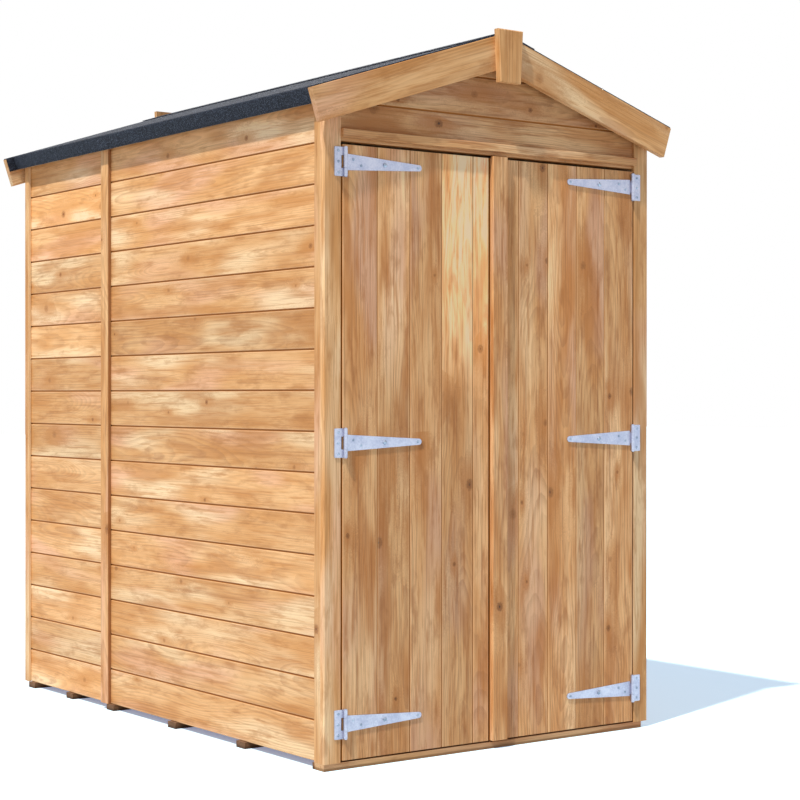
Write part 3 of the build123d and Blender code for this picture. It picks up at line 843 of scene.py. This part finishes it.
def head(mesh, centre, out, radius, rise, recess):
    """A domed head on a surface, with a cross recess of that depth."""
    across = out.orthogonal().normalized()
    other = out.cross(across)
    rings = []
    for share in HEAD_RINGS:
        ring = []
        for n in range(HEAD_SIDES):
            angle = 2 * math.pi * n / HEAD_SIDES
            x, y = radius * share * math.cos(angle), radius * share * math.sin(angle)
            dome = rise * (HEAD_RIM + (1 - HEAD_RIM) * math.sqrt(1 - share * share))
            height = dome if rings else 0.0
            in_cross = min(abs(x), abs(y)) < radius * CROSS_HALF and share < CROSS_REACH
            height -= recess if in_cross else 0.0
            ring.append(mesh.verts.new(centre + across * x + other * y + out * height))
        rings.append(ring)
    for outer, inner in pairwise(rings):
        for n in range(HEAD_SIDES):
            m = (n + 1) % HEAD_SIDES
            mesh.faces.new((outer[n], outer[m], inner[m], inner[n]))
    mesh.faces.new(rings[-1])
    mesh.faces.new(rings[0][::-1])


def heads_piece(name, heads, material, body):
    """A joined mesh of screw, bolt or nail heads: (centre, out, radius, rise, recess) each."""
    mesh = bmesh.new()
    for centre, out, radius, rise, recess in heads:
        head(mesh, centre, out, radius, rise, recess)
    bmesh.ops.recalc_face_normals(mesh, faces=mesh.faces)
    data = mesh_data(name, mesh)
    data.shade_smooth()
    add_piece(name, data, material, body, None)


SCREW_HEAD = (0.0040, 0.0013, 0.0008)  # radius, rise and recess
BOLT_HEAD = (0.0062, 0.0032, 0.0)
CLOUT_HEAD = (0.0042, 0.0014, 0.0)
CLOUT_EDGE = 0.020                     # nails to the ridge strip's edge
CLOUT_END = 0.075                      # first and last nail to its ends
CLOUT_PITCH = 0.150


def hinge_fixings():
    """Screws in the fixed leaves, and screws and a coach bolt in each strap."""
    low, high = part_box("hinge_plates_left")
    levels = [low.z + PLATE_HALF, (low.z + high.z) / 2, high.z - PLATE_HALF]
    face = high.y - HINGE_GAUGE
    plate_screws = []
    for joint in frame["joints"]:
        pin_x = joint["pos_m"][0]
        side = -1 if pin_x < 0 else 1
        straps = []
        for level in levels:
            at = Vector((pin_x, face, level))
            for row in (-1, 0, 1):
                centre = at + RIGHT * side * PLATE_SCREW_REACH + UP * row * PLATE_SCREW_PITCH
                plate_screws.append((centre, -BACK, *SCREW_HEAD))
            for reach, rise in STRAP_SCREWS:
                straps.append((at - RIGHT * side * reach + UP * side * rise, -BACK, *SCREW_HEAD))
            straps.append((at - RIGHT * side * STRAP_BOLT_REACH, -BACK, *BOLT_HEAD))
        body = joint["child"]
        heads_piece(body + "_strap_screws", straps, MATERIALS["screw"], body)
    heads_piece("hinge_plate_screws", plate_screws, MATERIALS["screw"], "root")


def felt_clouts():
    """Clout nails along both edges of the ridge strip."""
    low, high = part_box("roof_felt_ridge")
    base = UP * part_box("roof_boards_right")[1].z
    lift, wing = ridge_sizes("roof_felt_ridge")
    clouts = []
    for side in (-1, 1):
        down, out = slope_axes(side)
        centre = base + down * (wing - CLOUT_EDGE) + out * (lift - FELT_WANDER)
        for y in steps(low.y + CLOUT_END, high.y - CLOUT_END, CLOUT_PITCH):
            clouts.append((centre + BACK * y, out, *CLOUT_HEAD))
    heads_piece("felt_clout_nails", clouts, MATERIALS["clout"], "root")


# ---------------- solid timber from the CAD model
def paint(node, material):
    """Gives a CAD node one material."""
    piece = frame["nodes"][node]
    if not piece.material_slots:
        piece.data.materials.append(material)
    for slot in piece.material_slots:
        slot.link = "OBJECT"
        slot.material = material


def timber(node, look, along, across, cells=(), **extra):
    """Gives a CAD node its own pine, with the grain along its length."""
    low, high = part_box(node)
    paint(node, timber_material(node + "_pine", look, along, across, (low + high) / 2, cells, **extra))


# Cells that part the lengths in one node: left from right, front from back and low from high.
SIDES, ENDS, LEVELS = (X, -1.0, 1.0), (Y, -1.0, 1.0), (Z, 0.0, 1.0)
BEARER_CELLS = (Y, -1.05, 0.2)
BACK_STUD_CELLS = [(X, -0.9, 0.6), (Z, 0.0, 1.76)]
BEARER_FOOT_SHADE = (Z, 0.0095, 0.0060, -0.42)  # painted contact shade: how the bearers darken towards the ground
BEARER_FRONT = (-0.89, "door")            # the look of the bearer under the doors


def paint_timber():
    """Every carried-over timber node, with a cell for each length that shares the node."""
    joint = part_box("wall_left_front")[1].y
    timber("corner_post_left", "clad", UP, BACK, tone=0.14)
    timber("corner_post_right", "clad", UP, BACK, tone=-0.05)
    # Painted light on the side trims' narrow faces, paler than the sun leaves them.
    timber("side_trims", "clad", UP, BACK, [SIDES, ENDS], side=(LOOKS["clad"]["pale"], 0.6))
    timber("back_trims", "clad", UP, RIGHT, [SIDES])
    # Painted shade on the joint covers' narrow faces.
    timber("joint_covers", "clad", UP, BACK, [SIDES], tone=0.04, side=(COVER_EDGE_SHADE, 0.85))
    timber("drip_strip", "door", RIGHT, UP, tone=0.02)
    timber("door_cover_strip", "door", UP, RIGHT, tone=0.06)
    for end in ("front", "back"):
        timber("finial_" + end, "clad", UP, RIGHT, tone=0.02)
    timber("gable_rafters", "sawn", *slope_axes(1), [SIDES, ENDS])
    timber("purlins", "sawn", BACK, RIGHT, [SIDES])
    timber("eaves_battens", "sawn", BACK, RIGHT, [SIDES])
    timber("ridge_beam", "sawn", BACK, UP)
    timber("door_header", "sawn", RIGHT, UP)
    timber("door_jambs", "sawn", UP, RIGHT, [SIDES])
    timber("studs_back", "sawn", UP, RIGHT, BACK_STUD_CELLS)
    timber("rails_back", "sawn", RIGHT, UP, [LEVELS])
    # The bearers' dark look and lower tone are partly painted shade under the floor.
    timber("floor_bearers", "earthy_and_shaded", RIGHT, BACK, [BEARER_CELLS], tone=-0.15, fade=BEARER_FOOT_SHADE,
           front=BEARER_FRONT)
    for side, word in ((-1, "left"), (1, "right")):
        for end in ("front", "back"):
            timber("bargeboard_" + end + "_" + word, "clad", *slope_axes(side), tone=0.02)
        timber("studs_" + word, "sawn", UP, BACK, [(Y, joint - 1.0, 0.5)])
        timber("rails_" + word, "sawn", BACK, UP, [(Y, joint - 2.0, 2.0), LEVELS])
        low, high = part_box(word + "_door_ledges")
        pitch = (high.z - low.z - LEDGE_HEIGHT) / 2
        rise = pitch - LEDGE_HEIGHT
        timber(word + "_door_ledges", "sawn", RIGHT, UP, [(Z, low.z - rise / 2, pitch)])
        brace = Vector((-side * (high.x - low.x - BRACE_CUT), 0, rise)).normalized()
        timber(word + "_door_braces", "sawn", brace, brace.cross(BACK),
               [(Z, low.z + LEDGE_HEIGHT / 2, pitch)])


def paint_metal():
    """Every leaf, strap and pin of the hinges."""
    for node in ("hinge_plates_left", "hinge_plates_right", "hinge_pins", "left_door_straps",
                 "right_door_straps"):
        paint(node, MATERIALS["zinc"])


# ---------------- stage, light and camera
# Far lights: the direction to each, its strength, its angle in degrees and its colour.
SUNS = {
    "key_sun": ((-0.543, -0.186, 1.0), 3.7, 1.6, (1.0, 0.97, 0.93)),
    "far_fill": ((0.6, 0.75, 0.5), 0.9, 40, (1.0, 1.0, 1.0)),
}
SKY = (0.92, 0.97, 1.06, 1.0)
SKY_STRENGTH = 0.40
WHITE = (1, 1, 1, 1)
FLOOR_HALF = 40.0
FLOOR_SHADE = (0.5, 0.5, 0.5, 1)        # of the floor, as the shed is lit by it
FLOOR_GLOW = (0.25, 0.265, 0.375, 1.0)  # added where it is seen, the colour of its shadows
FLOOR_LIT = (0.69, 0.95, 1.0, 1)        # what the light adds to that, up to white
CAMERA_PLACE = Vector((-3.4512, -5.1825, 1.0223))
CAMERA_YAW, CAMERA_PITCH, CAMERA_ROLL = (math.radians(a) for a in (36.223, -0.142, 0.028))
CAMERA_SENSOR = 36.0
CAMERA_LENS = 84.75
CAMERA_REACH = 200.0


def seen_directly(g):
    """1 for rays that show the background: from the camera, in a reflection or through glass."""
    path = g.add("LightPath").outputs
    return g.math("MAXIMUM", path["Is Camera Ray"],
                  g.math("MAXIMUM", path["Is Glossy Ray"], path["Is Transmission Ray"]))


def make_world():
    """A white background that lights the shed as a pale sky."""
    world = bpy.data.worlds.new("studio")
    g = fresh_graph(world)
    light = g.add("Background", {0: SKY, 1: SKY_STRENGTH})
    white = g.add("Background", {0: WHITE, 1: 1.0})
    mix = g.add("MixShader", {0: seen_directly(g), 1: light.outputs[0], 2: white.outputs[0]})
    g.add("OutputWorld", {0: mix.outputs[0]})
    bpy.context.scene.world = world


def make_floor():
    """A white floor; where it is seen directly it is lifted, so that only the shadow is tinted."""
    mesh = bmesh.new()
    bmesh.ops.create_grid(mesh, x_segments=4, y_segments=4, size=FLOOR_HALF)
    data = mesh_data("floor", mesh)
    floor = new_object("floor", data)
    material = bpy.data.materials.new("floor_white")
    g = fresh_graph(material)
    plain = g.add("BsdfDiffuse", {"Color": FLOOR_SHADE})
    glow = g.add("Emission", {0: FLOOR_GLOW, 1: 1.0})
    bright = g.add("BsdfDiffuse", {"Color": FLOOR_LIT})
    lifted = g.add("AddShader", {0: glow.outputs[0], 1: bright.outputs[0]})
    mix = g.add("MixShader", {0: seen_directly(g), 1: plain.outputs[0], 2: lifted.outputs[0]})
    g.add("OutputMaterial", {0: mix.outputs[0]})
    data.materials.append(material)


def make_suns():
    """The far lights."""
    for name, (towards, strength, angle, colour) in SUNS.items():
        lamp = bpy.data.lights.new(name, "SUN")
        lamp.energy, lamp.angle, lamp.color = strength, math.radians(angle), colour
        turn = Vector(towards).to_track_quat("Z", "Y")
        new_object(name, lamp).rotation_euler = turn.to_euler()


def make_camera():
    """The camera that sees the shed as the photograph does."""
    data = bpy.data.cameras.new("camera")
    data.sensor_width, data.lens = CAMERA_SENSOR, CAMERA_LENS
    data.clip_end = CAMERA_REACH
    camera = new_object("camera", data)
    forward = Vector((math.sin(CAMERA_YAW) * math.cos(CAMERA_PITCH),
                      math.cos(CAMERA_YAW) * math.cos(CAMERA_PITCH), math.sin(CAMERA_PITCH)))
    level = Vector((math.cos(CAMERA_YAW), -math.sin(CAMERA_YAW), 0))
    above = level.cross(forward)
    right = level * math.cos(CAMERA_ROLL) + above * math.sin(CAMERA_ROLL)
    up = above * math.cos(CAMERA_ROLL) - level * math.sin(CAMERA_ROLL)
    turn = Matrix((right, up, -forward)).transposed().to_4x4()
    camera.matrix_world = Matrix.Translation(CAMERA_PLACE) @ turn
    bpy.context.scene.camera = camera


# ---------------- the whole scene
BACK_PANELS_PALER = 0.08
# Tones of single boards, as side_wall and door_panel take them.
# Board 15, the top one under the eaves, is darker partly as painted shade from the eaves.
LEFT_FRONT_TONES = {0: -0.14, 2: 0.09, 3: -0.10, 6: 0.22, 12: 0.20, 15: -0.08}
LEFT_BACK_TONES = {1: -0.14, 4: 0.09, 5: -0.16, 8: -0.08, 10: 0.10, 13: 0.25, 14: 0.20, 15: -0.05}
LEFT_DOOR_TONES = [(0.04, 0.17), (-0.04, 0.22), (0.05, 0.03), (-0.06, 0.75), (0.12, 0.95)]
RIGHT_DOOR_TONES = [(0.12, 0.0), (-0.07, 0.11), (0.15, 0.23), (0.1, 0.02), (0.08, 0.0)]

bpy.context.scene.view_settings.view_transform = "Standard"
make_camera()
make_world()
make_floor()
make_suns()

side_wall("wall_left_front", -1, 11, tones=LEFT_FRONT_TONES)
side_wall("wall_left_back", -1, 12, BACK_PANELS_PALER, LEFT_BACK_TONES)
side_wall("wall_right_front", 1, 13)
side_wall("wall_right_back", 1, 14, BACK_PANELS_PALER)
end_wall("wall_back", "boards_back", 1, MATERIALS["clad_side"], 15)
end_wall("gable_front", "boards_gable", -1, MATERIALS["clad_door"], 16)
door_panel("left_door_boards", -1, "left_door", 17, LEFT_DOOR_TONES)
door_panel("right_door_boards", 1, "right_door", 18, RIGHT_DOOR_TONES)
floor_panel()
roof_panel("roof_boards_left", -1, 21)
roof_panel("roof_boards_right", 1, 22)
slope_felt("roof_felt_left", -1, 31)
slope_felt("roof_felt_right", 1, 32)
ridge_felt("roof_felt_ridge", 33)
hinge_fixings()
felt_clouts()
paint_timber()
paint_metal()
